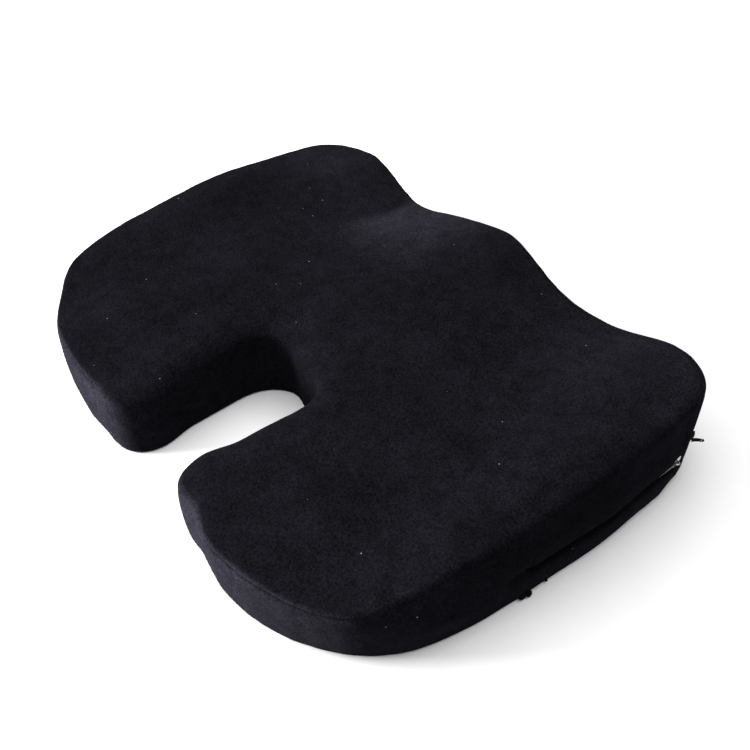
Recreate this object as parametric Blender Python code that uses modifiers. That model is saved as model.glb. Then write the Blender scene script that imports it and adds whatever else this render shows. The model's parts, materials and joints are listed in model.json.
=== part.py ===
"""Seat cushion with a tailbone cut-out: a contoured foam core, an inner liner and a zipped cover.

Metres, +Z up. The origin is on the floor at the middle of the plan. +Y points to the back, where the
cut-out opens, -Y to the sitter's knees, and the zip is in the side wall at -X.
"""

import math
from collections import namedtuple

import bmesh
import bpy
from mathutils import Matrix, Vector

# Plan of the half at +X: each corner's x, y and radius, from the front centre round to the cut-out.
HALF_WIDTH = 0.2285
FRONT_CORNER_RADIUS = 0.0450
HALF_PLAN = (
    (0.0000, -0.1740, 0.055),  # pommel, between the thighs
    (0.0810, -0.1505, 0.076),  # thigh channel
    (HALF_WIDTH, -0.1800, FRONT_CORNER_RADIUS),
    (HALF_WIDTH, 0.0485, 0.230),  # where the side starts to draw in
    (0.2105, 0.1650, 0.088),  # back corner
    (0.1030, 0.1840, 0.200),  # back edge of the lobe
    (0.0375, 0.1730, 0.026),  # mouth of the cut-out
    (0.0445, 0.0380, 0.035),  # inner end of the cut-out
)
ARC_STEP = math.radians(12)
STRAIGHT_STEP = 0.022

# Heights of the top, which is low at the back and high in front, with a channel for each thigh.
BACK_HEIGHT = 0.0625
FRONT_HEIGHT = 0.0785
SLOPE_START_Y = 0.130
SLOPE_LENGTH = 0.260
TAIL_DROP = 0.009
TAIL_START_Y = 0.110
TAIL_LENGTH = 0.060
SIDE_RISE = 0.008
SIDE_START_X = 0.150
SIDE_LENGTH_X = 0.075
SIDE_START_Y = -0.120
SIDE_LENGTH_Y = 0.100
CONTOUR_START_Y = 0.030
CONTOUR_LENGTH = 0.170
POMMEL_RISE = 0.002
POMMEL_WIDTH = 0.040
CHANNEL_DEPTH = 0.0105
CHANNEL_X = 0.117
CHANNEL_WIDTH = 0.045
GRID_PITCH = 0.025
GRID_SNAP = 0.001

# The rounded edge of the top: the same height all round, and wider along the cut-out.
EDGE_DROP = 0.005
EDGE_WIDTH = 0.005
CUT_EDGE_WIDTH = 0.014
CUT_BLEND_Y = 0.040
CUT_BLEND_X = 0.100
CUT_BLEND_LENGTH = 0.040
EDGE_STEPS = 3

# Layers, from the outside in.
GAP = 0.0003
FABRIC = 0.0020
CUT_REACH = 0.010
LINER = 0.0008
LAYER_GAP = 0.0006
LINER_DEPTH = FABRIC + LAYER_GAP
FOAM_DEPTH = LINER_DEPTH + LINER + LAYER_GAP
BASE_CHAMFER = 0.0010
LINER_BASE_Z = FABRIC + GAP
FOAM_BASE_Z = LINER_BASE_Z + LINER + GAP

# The zip, on the straight stretch of the side wall at -X.
ZIP_Z = 0.030
ZIP_FRONT_Y = -0.1250
ZIP_REAR_Y = 0.030
SLOT_HALF_HEIGHT = 0.0040
TAPE = 0.0008
TAPE_DEPTH = FABRIC + GAP
TAPE_HEIGHT = 0.011
ROW_GAP = 0.0012
TOOTH_PITCH = 0.0025
TOOTH_WIDTH = 0.0013
TOOTH_LENGTH = 0.0016
ROW_HEIGHT = 0.0020
ROW_THICKNESS = 0.0014
ROW_DEPTH = TAPE_DEPTH - GAP - ROW_THICKNESS
STOP_LENGTH = 0.0018
LINER_WINDOW_DEPTH = 0.012
LINER_WINDOW_MARGIN = 0.003
FOAM_RECESS_MARGIN = 0.002

# The slider and its pull tab, at the front end of the zip.
SLIDER_Y = -0.1170
SLIDER_LENGTH = 0.011
SLIDER_HALF_HEIGHT = 0.0035
PLATE_FRONT_DEPTH = -0.0012
PLATE_BACK_DEPTH = 0.0002
FLANGE_END_DEPTH = 0.0018
FLANGE = 0.0006
POST_HALF_HEIGHT = 0.0003
REAR_PLATE = 0.0008
REAR_PLATE_DEPTH = TAPE_DEPTH + TAPE + GAP
EYE_RADIUS = 0.0016
EYE_WIRE_RADIUS = 0.0006
TAB_REACH = 0.0013
TAB_DEPTH = PLATE_FRONT_DEPTH - TAB_REACH
TAB_LENGTH = 0.0205
TAB_HALF_HEIGHT = 0.0016
TAB_SHAFT_HALF_HEIGHT = 0.0009
TAB_NECK = 0.0015
TAB_THICKNESS = 0.0010
TAB_BAR = 0.0010
TAB_ARM = 0.0006
TAB_WINDOW_LENGTH = 0.0031

# Folded ends of the zip at the seams, and the spare tail of tape at the front.
FOLD_THICKNESS = 0.0022
FOLD_ROUNDING = 0.0006
FRONT_FOLD_TURN = math.radians(18)
FRONT_FOLD_SIZE = (FOLD_THICKNESS, 0.007, 0.012)
FRONT_FOLD_Z = 0.0385
REAR_FOLD_SIZE = (FOLD_THICKNESS, 0.006, 0.008)
REAR_FOLD_Y = ZIP_REAR_Y + 0.004
REAR_FOLD_Z = 0.009
TAIL_SIZE = (0.009, 0.001, 0.0025)
TAIL_TURN = math.radians(54)

Station = namedtuple("Station", "point out edge top")


def smooth(value):
    """Eases from 0 to 1 while value goes from 0 to 1."""
    t = min(max(value, 0.0), 1.0)
    return t * t * (3 - 2 * t)


def bump(distance, width):
    """A rounded hill, 1 high at distance 0."""
    return math.exp(-((distance / width) ** 2))


def top_height(x, y):
    """Height of the cover's top at a point of the plan."""
    across = abs(x)
    slope = smooth((SLOPE_START_Y - y) / SLOPE_LENGTH)
    contour = smooth((CONTOUR_START_Y - y) / CONTOUR_LENGTH)
    pommel = POMMEL_RISE * bump(across, POMMEL_WIDTH)
    channel = CHANNEL_DEPTH * bump(across - CHANNEL_X, CHANNEL_WIDTH)
    tail = TAIL_DROP * smooth((y - TAIL_START_Y) / TAIL_LENGTH)
    side = smooth((across - SIDE_START_X) / SIDE_LENGTH_X) * smooth((y - SIDE_START_Y) / SIDE_LENGTH_Y)
    height = BACK_HEIGHT + (FRONT_HEIGHT - BACK_HEIGHT) * slope
    return height + contour * (pommel - channel) - tail + SIDE_RISE * side


def round_corner(before, corner, after, radius):
    """Points of the arc that rounds a corner, from the side of before to the side of after."""
    to_before = (before - corner).normalized()
    to_after = (after - corner).normalized()
    half_angle = to_before.angle(to_after) / 2
    start = corner + to_before * radius / math.tan(half_angle)
    end = corner + to_after * radius / math.tan(half_angle)
    centre = corner + (to_before + to_after).normalized() * radius / math.sin(half_angle)
    turn = (end - centre).angle_signed(start - centre)
    steps = math.ceil(abs(turn) / ARC_STEP)
    return [centre + Matrix.Rotation(turn * i / steps, 2) @ (start - centre) for i in range(steps + 1)]


def straight(start, end):
    """Points inside a straight stretch, without its ends."""
    steps = max(1, round((end - start).length / STRAIGHT_STEP))
    return [start.lerp(end, i / steps) for i in range(1, steps)]


def plan_points():
    """The outline of the plan, counter-clockwise."""
    half = [(Vector((x, y)), radius) for x, y, radius in HALF_PLAN]
    corners = half + [(Vector((-c.x, c.y)), radius) for c, radius in reversed(half[1:])]
    points = []
    for i, (corner, radius) in enumerate(corners):
        after = corners[(i + 1) % len(corners)][0]
        arc = round_corner(corners[i - 1][0], corner, after, radius)
        if points:
            points += straight(points[-1], arc[0])
        points += arc
    return points + straight(points[-1], points[0])


def plan_stations():
    """Each outline point with its outward direction, edge width and height of the top beside it."""
    points = plan_points()
    stations = []
    for i, point in enumerate(points):
        along = points[(i + 1) % len(points)] - points[i - 1]
        out = Vector((along.y, -along.x)).normalized()
        cut = smooth(point.y / CUT_BLEND_Y) * smooth((CUT_BLEND_X - abs(point.x)) / CUT_BLEND_LENGTH)
        edge = EDGE_WIDTH + (CUT_EDGE_WIDTH - EDGE_WIDTH) * cut
        beside = point - out * edge
        stations.append(Station(point, out, edge, top_height(beside.x, beside.y)))
    return stations


STATIONS = plan_stations()


def seam_height(station):
    """Height of the seam between the top panel and the side wall."""
    return station.top - EDGE_DROP


def add_ring(mesh, inset, height):
    """A closed loop of vertices; inset and height each take a station."""
    loop = []
    for station in STATIONS:
        point = station.point - station.out * inset(station)
        loop.append(mesh.verts.new((point.x, point.y, height(station))))
    return loop


def level_ring(mesh, depth, z):
    """A level loop at one depth inside the cover's outer face."""
    return add_ring(mesh, lambda station: depth, lambda station: z)


def bridge(mesh, first, second):
    """A strip of quads between two loops."""
    for i in range(len(first)):
        mesh.faces.new((first[i - 1], first[i], second[i], second[i - 1]))


def add_top(mesh, depth):
    """The rounded edge and the crowned top, some depth inside the outer face; returns the lowest loop."""
    loops = []
    for step in range(EDGE_STEPS + 1):
        turn = math.pi / 2 * step / EDGE_STEPS
        across = 1 - math.cos(turn)
        up = (EDGE_DROP - depth) * math.sin(turn)
        loops.append(
            add_ring(
                mesh,
                lambda station: depth + (station.edge - depth) * across,
                lambda station: seam_height(station) + up,
            )
        )
    for lower, upper in zip(loops, loops[1:]):
        bridge(mesh, lower, upper)
    crown(mesh, mesh.faces.new(loops[-1]), depth)
    return loops[0]


def crown(mesh, face, depth):
    """Divides the flat top with a square grid and lifts it to its height."""
    face.material_index = 1
    for axis in (Vector((1, 0, 0)), Vector((0, 1, 0))):
        lines = int(HALF_WIDTH / GRID_PITCH)
        for line in range(-lines, lines + 1):
            faces = [each for each in mesh.faces if each.material_index == 1]
            edges = {edge for each in faces for edge in each.edges}
            verts = {vert for each in faces for vert in each.verts}
            bmesh.ops.bisect_plane(
                mesh,
                geom=faces + list(edges) + list(verts),
                dist=GRID_SNAP,
                plane_co=axis * line * GRID_PITCH,
                plane_no=axis,
            )
    for each in [each for each in mesh.faces if each.material_index == 1]:
        for vert in each.verts:
            vert.co.z = top_height(vert.co.x, vert.co.y) - depth
        each.material_index = 0
    bmesh.ops.triangulate(mesh, faces=mesh.faces[:], quad_method="FIXED", ngon_method="EAR_CLIP")


def make_material(name, colour, roughness, metallic=0.0):
    """A plain Principled material."""
    material = bpy.data.materials.new(name)
    material.use_nodes = True
    shader = material.node_tree.nodes["Principled BSDF"]
    shader.inputs["Base Color"].default_value = (*colour, 1.0)
    shader.inputs["Roughness"].default_value = roughness
    shader.inputs["Metallic"].default_value = metallic
    material.diffuse_color = (*colour, 1.0)
    return material


def new_collection(name):
    """A collection in the scene."""
    collection = bpy.data.collections.new(name)
    bpy.context.scene.collection.children.link(collection)
    return collection


def add_object(name, mesh, material, collection, origin=(0, 0, 0)):
    """Makes an object of a bmesh whose coordinates are measured from the origin given."""
    bmesh.ops.recalc_face_normals(mesh, faces=mesh.faces)
    data = bpy.data.meshes.new(name)
    mesh.to_mesh(data)
    mesh.free()
    obj = bpy.data.objects.new(name, data)
    obj.location = origin
    if material:
        data.materials.append(material)
    collection.objects.link(obj)
    return obj


def add_box(name, centre, size, material, collection, turn=0.0, bevel=0.0):
    """A box turned about Z, with rounded edges where a bevel is given."""
    mesh = bmesh.new()
    bmesh.ops.create_cube(mesh, size=1)
    bmesh.ops.scale(mesh, vec=size, verts=mesh.verts)
    obj = add_object(name, mesh, material, collection, centre)
    obj.rotation_euler.z = turn
    if bevel:
        rounding = obj.modifiers.new("Rounding", "BEVEL")
        rounding.width = bevel
        rounding.segments = 2
    return obj


def add_cutter(name, low, high, cutters):
    """A box between two corners, for a Boolean."""
    low, high = Vector(low), Vector(high)
    cutter = add_box(name, (low + high) / 2, high - low, None, cutters)
    cutter.hide_render = True
    cutter.display_type = "WIRE"
    return cutter


def add_boolean(obj, operation, other):
    """Cuts, joins or crosses an object with another."""
    boolean = obj.modifiers.new(other.name, "BOOLEAN")
    boolean.operation = operation
    boolean.object = other


def wall_x(depth):
    """X of a plane some depth inside the outer face of the side wall with the zip."""
    return -HALF_WIDTH + depth


def add_block(name, depth, base_z, material, collection):
    """The whole cushion form as one solid, some depth inside the cover's outer face."""
    mesh = bmesh.new()
    base = level_ring(mesh, depth, base_z)
    bridge(mesh, base, add_top(mesh, depth))
    mesh.faces.new(base)
    return add_object(name, mesh, material, collection)


def foam_core(material, parts, cutters):
    """The foam block, hollowed a little behind the zip's slider."""
    foam = add_block("foam_core", FOAM_DEPTH, FOAM_BASE_Z, material, parts)
    reach = SLIDER_HALF_HEIGHT + FOAM_RECESS_MARGIN
    recess = add_cutter(
        "zip_recess",
        (wall_x(0), ZIP_FRONT_Y, ZIP_Z - reach),
        (wall_x(REAR_PLATE_DEPTH + REAR_PLATE + FOAM_RECESS_MARGIN), ZIP_REAR_Y, ZIP_Z + reach),
        cutters,
    )
    add_boolean(foam, "DIFFERENCE", recess)


def inner_liner(material, parts, cutters):
    """The thin sleeve round the foam, open behind the zip."""
    liner = add_block("inner_liner", LINER_DEPTH, LINER_BASE_Z, material, parts)
    hollow = add_block("liner_hollow", LINER_DEPTH + LINER, LINER_BASE_Z + LINER, None, cutters)
    hollow.hide_render = True
    hollow.display_type = "WIRE"
    add_boolean(liner, "DIFFERENCE", hollow)
    reach = TAPE_HEIGHT + LINER_WINDOW_MARGIN
    window = add_cutter(
        "liner_window",
        (wall_x(0), ZIP_FRONT_Y - LINER_WINDOW_MARGIN, ZIP_Z - reach),
        (wall_x(LINER_WINDOW_DEPTH), ZIP_REAR_Y + LINER_WINDOW_MARGIN, ZIP_Z + reach),
        cutters,
    )
    add_boolean(liner, "DIFFERENCE", window)


def top_panel(material, parts):
    """The cover's top, down to its seam with the side wall."""
    mesh = bmesh.new()
    bridge(mesh, add_top(mesh, 0), add_top(mesh, FABRIC))
    add_object("top_panel", mesh, material, parts)


def base_panel(material, parts):
    """The cover's flat base."""
    mesh = bmesh.new()
    floor = level_ring(mesh, BASE_CHAMFER, 0)
    edge = level_ring(mesh, 0, BASE_CHAMFER)
    inside = level_ring(mesh, 0, FABRIC)
    bridge(mesh, floor, edge)
    bridge(mesh, edge, inside)
    mesh.faces.new(floor)
    mesh.faces.new(inside)
    add_object("base_panel", mesh, material, parts)


def wall_ring(name, low, high, material, parts):
    """A closed band of cover fabric; low and high each take a station."""
    mesh = bmesh.new()
    loops = []
    for depth, height in ((0, low), (0, high), (FABRIC, high), (FABRIC, low)):
        loops.append(add_ring(mesh, lambda station: depth, height))
    for i in range(len(loops)):
        bridge(mesh, loops[i - 1], loops[i])
    return add_object(name, mesh, material, parts)


def side_walls(material, parts, cutters):
    """The side band, and the two strips that take its place along the zip."""
    base = FABRIC + GAP
    top = HALF_WIDTH
    stretch = add_cutter(
        "zip_stretch",
        (wall_x(-CUT_REACH), ZIP_FRONT_Y - GAP, -CUT_REACH),
        (wall_x(CUT_REACH), ZIP_REAR_Y + GAP, top),
        cutters,
    )
    between = add_cutter(
        "zip_between",
        (wall_x(-CUT_REACH), ZIP_FRONT_Y, -CUT_REACH),
        (wall_x(CUT_REACH), ZIP_REAR_Y, top),
        cutters,
    )
    pieces = (
        ("side_band", lambda s: base, lambda s: seam_height(s) - GAP),
        ("zip_strip_upper", lambda s: ZIP_Z + SLOT_HALF_HEIGHT, lambda s: seam_height(s) - GAP),
        ("zip_strip_lower", lambda s: base, lambda s: ZIP_Z - SLOT_HALF_HEIGHT),
    )
    for name, low, high in pieces:
        wall = wall_ring(name, low, high, material, parts)
        if name == "side_band":
            add_boolean(wall, "DIFFERENCE", stretch)
        else:
            add_boolean(wall, "INTERSECT", between)


def zip_tape(name, side, material, parts):
    """One of the two tapes, behind the edge of the slot; side is 1 above and -1 below."""
    height = TAPE_HEIGHT - ROW_GAP / 2
    x = wall_x(TAPE_DEPTH + TAPE / 2)
    y = (ZIP_FRONT_Y + ZIP_REAR_Y) / 2
    z = ZIP_Z + side * (TAPE_HEIGHT + ROW_GAP / 2) / 2
    add_box(name, (x, y, z), (TAPE, ZIP_REAR_Y - ZIP_FRONT_Y, height), material, parts)


def zip_teeth(name, side, material, parts):
    """One row of teeth on a spine, as a comb with its teeth towards the other row."""
    first = ZIP_FRONT_Y + STOP_LENGTH + 2 * GAP
    last = ZIP_REAR_Y - STOP_LENGTH - 2 * GAP
    count = int((last - first) / TOOTH_PITCH)
    tip = side * ROW_GAP / 2
    root = tip + side * TOOTH_LENGTH
    back = tip + side * ROW_HEIGHT
    comb = [(first + count * TOOTH_PITCH, back), (first, back)]
    for tooth in range(count):
        start = first + tooth * TOOTH_PITCH
        comb += [(start, tip), (start + TOOTH_WIDTH, tip)]
        comb += [(start + TOOTH_WIDTH, root), (start + TOOTH_PITCH, root)]
    mesh = bmesh.new()
    face = mesh.faces.new([mesh.verts.new((wall_x(ROW_DEPTH), y, ZIP_Z + z)) for y, z in comb])
    extruded = bmesh.ops.extrude_face_region(mesh, geom=[face])
    verts = [item for item in extruded["geom"] if isinstance(item, bmesh.types.BMVert)]
    bmesh.ops.translate(mesh, vec=(ROW_THICKNESS, 0, 0), verts=verts)
    add_object(name, mesh, material, parts)


def zip_stops(material, parts):
    """A stop on each row at the front, and one across both rows at the rear."""
    x = wall_x(ROW_DEPTH + ROW_THICKNESS / 2)
    front_y = ZIP_FRONT_Y + GAP + STOP_LENGTH / 2
    rear_y = ZIP_REAR_Y - GAP - STOP_LENGTH / 2
    half_row = (ROW_GAP + ROW_HEIGHT) / 2
    for name, side in (("front_stop_upper", 1), ("front_stop_lower", -1)):
        centre = (x, front_y, ZIP_Z + side * half_row)
        add_box(name, centre, (ROW_THICKNESS, STOP_LENGTH, ROW_HEIGHT), material, parts)
    size = (ROW_THICKNESS, STOP_LENGTH, ROW_GAP + 2 * ROW_HEIGHT)
    add_box("rear_stop", (x, rear_y, ZIP_Z), size, material, parts)


def zip_slider(material, parts, cutters):
    """The slider: plates before and behind the rows, joined by a post between them, with a tab eye."""
    half = SLIDER_HALF_HEIGHT
    rear_end = REAR_PLATE_DEPTH + REAR_PLATE
    upper = [
        (PLATE_FRONT_DEPTH, half),
        (FLANGE_END_DEPTH, half),
        (FLANGE_END_DEPTH, half - FLANGE),
        (PLATE_BACK_DEPTH, half - FLANGE),
        (PLATE_BACK_DEPTH, POST_HALF_HEIGHT),
        (REAR_PLATE_DEPTH, POST_HALF_HEIGHT),
        (REAR_PLATE_DEPTH, half),
        (rear_end, half),
    ]
    section = upper + [(depth, -z) for depth, z in reversed(upper)]
    mesh = bmesh.new()
    start = -SLIDER_LENGTH / 2
    face = mesh.faces.new([mesh.verts.new((depth, start, z)) for depth, z in section])
    extruded = bmesh.ops.extrude_face_region(mesh, geom=[face])
    verts = [item for item in extruded["geom"] if isinstance(item, bmesh.types.BMVert)]
    bmesh.ops.translate(mesh, vec=(0, SLIDER_LENGTH, 0), verts=verts)
    slider = add_object("zip_slider", mesh, material, parts, (wall_x(0), SLIDER_Y, ZIP_Z))
    bpy.ops.mesh.primitive_torus_add(
        location=(wall_x(TAB_DEPTH), SLIDER_Y, ZIP_Z),
        major_radius=EYE_RADIUS,
        minor_radius=EYE_WIRE_RADIUS,
        major_segments=20,
        minor_segments=8,
    )
    eye = bpy.context.object
    eye.name = "tab_eye"
    eye.hide_render = True
    eye.display_type = "WIRE"
    bpy.context.collection.objects.unlink(eye)
    cutters.objects.link(eye)
    add_boolean(slider, "UNION", eye)


def tab_outline(steps=8):
    """Corners of the tab: a square head from y = 0, a neck and a slim shaft with a round end."""
    head, shaft = TAB_HALF_HEIGHT, TAB_SHAFT_HALF_HEIGHT
    head_end = TAB_BAR / 2 + TAB_WINDOW_LENGTH + TAB_ARM
    neck_end = head_end + TAB_NECK
    centre = TAB_LENGTH - shaft
    arc = [math.pi * (i / steps - 0.5) for i in range(steps + 1)]
    round_end = [(centre + shaft * math.cos(a), shaft * math.sin(a)) for a in arc]
    lower = [(-TAB_BAR / 2, -head), (head_end, -head), (neck_end, -shaft)]
    upper = [(neck_end, shaft), (head_end, head), (-TAB_BAR / 2, head)]
    return lower + round_end + upper


def pull_tab(material, parts):
    """The flat tab, with a window whose end bar turns in the slider's eye."""
    curve = bpy.data.curves.new("pull_tab", "CURVE")
    curve.dimensions = "2D"
    curve.fill_mode = "BOTH"
    curve.extrude = TAB_THICKNESS / 2
    inner = TAB_HALF_HEIGHT - TAB_ARM
    near, far = TAB_BAR / 2, TAB_BAR / 2 + TAB_WINDOW_LENGTH
    window = [(near, -inner), (far, -inner), (far, inner), (near, inner)]
    for outline in (tab_outline(), window):
        spline = curve.splines.new("POLY")
        spline.points.add(len(outline) - 1)
        for point, (along, across) in zip(spline.points, outline):
            point.co = (along, across, 0, 1)
        spline.use_cyclic_u = True
    tab = bpy.data.objects.new("pull_tab", curve)
    curve.materials.append(material)
    tab.location = (wall_x(TAB_DEPTH), SLIDER_Y, ZIP_Z)
    tab.rotation_euler = (math.pi / 2, 0, math.pi / 2)
    parts.objects.link(tab)


def zip_ends(material, parts):
    """The folded ends of the zip at its two seams, and the tail of tape at the front."""
    centre = Vector((wall_x(FRONT_CORNER_RADIUS), ZIP_FRONT_Y, FRONT_FOLD_Z))
    away = Vector((-math.cos(FRONT_FOLD_TURN), -math.sin(FRONT_FOLD_TURN), 0))
    front = centre + away * (FRONT_CORNER_RADIUS + GAP + FOLD_THICKNESS / 2)
    add_box("zip_end_front", front, FRONT_FOLD_SIZE, material, parts, FRONT_FOLD_TURN, FOLD_ROUNDING)
    rear = (wall_x(-GAP - FOLD_THICKNESS / 2), REAR_FOLD_Y, REAR_FOLD_Z)
    add_box("zip_end_rear", rear, REAR_FOLD_SIZE, material, parts, 0, FOLD_ROUNDING)
    along = Vector((-math.cos(TAIL_TURN), -math.sin(TAIL_TURN), 0))
    start = front + away * (FOLD_THICKNESS / 2 + 2 * GAP)
    tail = start + along * TAIL_SIZE[0] / 2
    add_box("zip_tape_tail", tail, TAIL_SIZE, material, parts, TAIL_TURN)


def main():
    """Builds the cushion."""
    for obj in list(bpy.data.objects):
        bpy.data.objects.remove(obj)
    parts = new_collection("seat_cushion")
    cutters = new_collection("cutters")
    velour = make_material("velour", (0.012, 0.012, 0.015), 0.9)
    base_cloth = make_material("base_cloth", (0.015, 0.015, 0.018), 0.95)
    tape = make_material("zip_tape", (0.010, 0.010, 0.012), 0.8)
    teeth = make_material("zip_teeth", (0.014, 0.014, 0.016), 0.4)
    nickel = make_material("nickel", (0.62, 0.61, 0.58), 0.25, 1.0)
    liner = make_material("liner_cloth", (0.75, 0.75, 0.73), 0.9)
    foam = make_material("foam", (0.80, 0.74, 0.55), 0.9)
    foam_core(foam, parts, cutters)
    inner_liner(liner, parts, cutters)
    top_panel(velour, parts)
    side_walls(velour, parts, cutters)
    base_panel(base_cloth, parts)
    zip_tape("zip_tape_upper", 1, tape, parts)
    zip_tape("zip_tape_lower", -1, tape, parts)
    zip_teeth("zip_teeth_upper", 1, teeth, parts)
    zip_teeth("zip_teeth_lower", -1, teeth, parts)
    zip_stops(teeth, parts)
    zip_slider(nickel, parts, cutters)
    pull_tab(nickel, parts)
    zip_ends(tape, parts)


main()
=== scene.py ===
"""Looks of the seat cushion: a stuffed velour cover with its seams, and the slider and tab of its zip.

Metres, +Z up, +Y to the back where the cut-out opens, and the zip in the side wall at -X.
"""

import json
from math import copysign, cos, pi, radians, sin, sqrt, tau

import bmesh
import bpy
import numpy as np
from mathutils import Matrix, Vector, noise
from mathutils.bvhtree import BVHTree
from mathutils.kdtree import KDTree


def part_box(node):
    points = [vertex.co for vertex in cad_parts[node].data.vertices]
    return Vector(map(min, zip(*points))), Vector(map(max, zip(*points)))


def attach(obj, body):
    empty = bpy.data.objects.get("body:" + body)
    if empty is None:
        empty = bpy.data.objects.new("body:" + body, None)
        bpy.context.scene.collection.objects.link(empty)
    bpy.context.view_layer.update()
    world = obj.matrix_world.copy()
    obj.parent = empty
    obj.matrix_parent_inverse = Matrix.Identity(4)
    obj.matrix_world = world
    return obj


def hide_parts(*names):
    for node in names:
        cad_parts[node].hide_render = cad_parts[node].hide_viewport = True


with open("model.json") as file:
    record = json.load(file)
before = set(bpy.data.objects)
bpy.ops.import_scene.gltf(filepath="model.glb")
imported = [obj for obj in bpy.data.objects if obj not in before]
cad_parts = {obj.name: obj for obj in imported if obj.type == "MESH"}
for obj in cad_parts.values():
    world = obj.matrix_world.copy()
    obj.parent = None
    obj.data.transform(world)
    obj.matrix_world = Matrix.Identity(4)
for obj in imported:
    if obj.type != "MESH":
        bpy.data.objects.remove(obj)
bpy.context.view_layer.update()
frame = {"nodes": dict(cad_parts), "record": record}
scene = bpy.context.scene

# Places read from the frame.
WALL_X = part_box("zip_strip_upper")[0].x
BASE_SEAM_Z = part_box("base_panel")[1].z
SLOT_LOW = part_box("zip_strip_lower")[1].z
SLOT_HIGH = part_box("zip_strip_upper")[0].z
ZIP_Z = (SLOT_LOW + SLOT_HIGH) / 2
ZIP_FRONT_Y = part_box("zip_tape_upper")[0].y
ZIP_REAR_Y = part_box("zip_tape_upper")[1].y
TAPE_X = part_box("zip_tape_upper")[0].x
SLIDER_REAR_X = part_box("zip_slider")[1].x

# The top's heights, as on the CAD panel. A zone is its start and the length over which it sets in; a
# pair of zones is across the plan, from the middle, and along it.
BACK_HEIGHT = 0.0625
FRONT_HEIGHT = 0.0785
SLOPE_ZONE = (0.130, 0.260)
TAIL_DROP = 0.009
TAIL_ZONE = (0.110, 0.060)
SIDE_RISE = 0.008
SIDE_RISE_ZONE = ((0.150, 0.075), (-0.120, 0.100))
CONTOUR_ZONE = (0.030, 0.170)
POMMEL_RISE = 0.002
POMMEL_WIDTH = 0.040
CHANNEL_DEPTH = 0.0105
CHANNEL_X = 0.117
CHANNEL_WIDTH = 0.045

# How much higher or lower the stuffed cover stands than the CAD panel, and where. Pairs are for the far
# side and the zip's side.
LOBE_RISE = 0.0030
CORNER_SINK = 0.0045
KNEE_SINK = (0.0040, 0.0020)
SIDE_LIFT = (0.0030, -0.0015)
FRONT_RISE = 0.0016
CONTOUR_SHIFT = 0.0075
LOBE_ZONE = (0.120, 0.050)
CORNER_ZONE = ((0.140, 0.050), (0.080, 0.050))
KNEE_SINK_ZONE = ((0.160, 0.050), (-0.100, 0.050))
SIDE_ZONE = (0.160, 0.050)
SIDE_REACH = 0.070
FRONT_RISE_ZONE = (-0.115, 0.040)

# The rounded edge of the top: crisp along the back, broader at the sides and round the cut-out.
EDGE_DROP = 0.0050
EDGE_WIDTH = 0.0050
SIDE_EDGE_WIDTH = 0.0085
CUT_EDGE_DROP = 0.0085
CUT_EDGE_WIDTH = 0.0160

# How far the wall stands out from the CAD plan, and how far it draws in towards the base.
FAR_SIDE_BOW = 0.0099
ZIP_SIDE_BOW = 0.0038
ZIP_MIDDLE_BOW = 0.0035
BACK_BOW = (-0.0010, 0.0055)
MOUTH_BOW = (0.0045, 0.0075)
MOUTH_WIDTH = (0.0300, 0.0150)
CUT_BOW = -0.0010
CUT_END_BOW = 0.0075
SIDE_TUCK = 0.0027
BACK_TUCK = (0.0010, 0.0040)
MOUTH_TUCK = 0.0050
CUT_TUCK = 0.0015
FRONT_BOW = 0.0008
FRONT_TUCK = 0.0024
KNEE_TUCK = 0.0030
TUCK_POWER = 1.6
WALL_BULGE = 0.0010
LOWER_ROLL = 0.0012
ROLL_Z = 0.013
ROLL_WIDTH = 0.006

# The zones of the outline, and the bow or tuck of its corners and knees: the amount, then the centre and
# width of the spot across and along.
CUT_ZONE = ((0.100, 0.040), (0.0, 0.040))
WALL_ZONE = (0.170, 0.040)
BACK_ZONE = (0.120, 0.040)
FRONT_ZONE = (-0.130, 0.030)
FAR_BOW_REAR = (0.165, 0.045)
FAR_BOW_FRONT = (-0.175, 0.050)
ZIP_BOW_FRONT = (-0.130, 0.030)
ZIP_MIDDLE = (-0.040, 0.045)
ZIP_CORNER_BOW = (0.0010, (0.195, 0.045), (0.125, 0.045))
BACK_BOW_ZONE = (0.130, 0.030)
BACK_BOW_ACROSS = (0.110, 0.040)
MOUTH_ZONE = (0.120, 0.030)
MOUTH_X = 0.044
MOUTH_TUCK_ZONE = (0.085, 0.040)
CUT_END_ZONE = ((0.028, 0.030), (0.075, 0.030))
KNEE_BOW = (-0.0006, (0.222, 0.030), (-0.158, 0.022))
FAR_KNEE_BOW = (-0.0025, (0.187, 0.030), (-0.168, 0.020))
KNEE_TUCK_ZONE = (0.160, 0.040)
SIDE_EDGE_ZONE = (0.090, 0.060)
CORNER_TUCK = (0.0060, (0.203, 0.040), (0.137, 0.040))
FAR_CORNER_TUCK = (0.0040, (0.200, 0.028), (0.130, 0.032))
ZIP_END_EASE = 0.015

# The cover's mesh.
STATION_PITCH = 0.0032
STATIONS_AT_SEAM = (0.0, 0.0008, 0.0018, 0.0032)
SIDE_TOLERANCE = 0.0020
TANGENT_STEP = 0.0020
LOOP_SAMPLES = 4096
TOP_PITCH = 0.0050
BASE_PITCH = 0.0150
OUTLINE_BLUR = 0.0045
FABRIC_THICKNESS = 0.0014
SEAM_DEPTH = 0.0008
SOFT_SEAM_SHARE = 0.10
END_SEAM_DEPTH = 0.0001
SLOT_END_TAPER = 0.0045
SLOT_END_SHARE = 0.12
SLOT_WAVE = 0.00025
SLOT_WAVES = (95.0, 231.0)
SLOT_WAVE_LAG = 9

# The hollow behind the zip's rear end, where the tab lies when the slider is drawn right back.
HOLLOW_LENGTH = 0.0150
HOLLOW_LEAD = 0.0050
HOLLOW_EASE = 0.0060
HOLLOW_HALF_HEIGHT = 0.0050
HOLLOW_OUT = 0.0005

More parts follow.
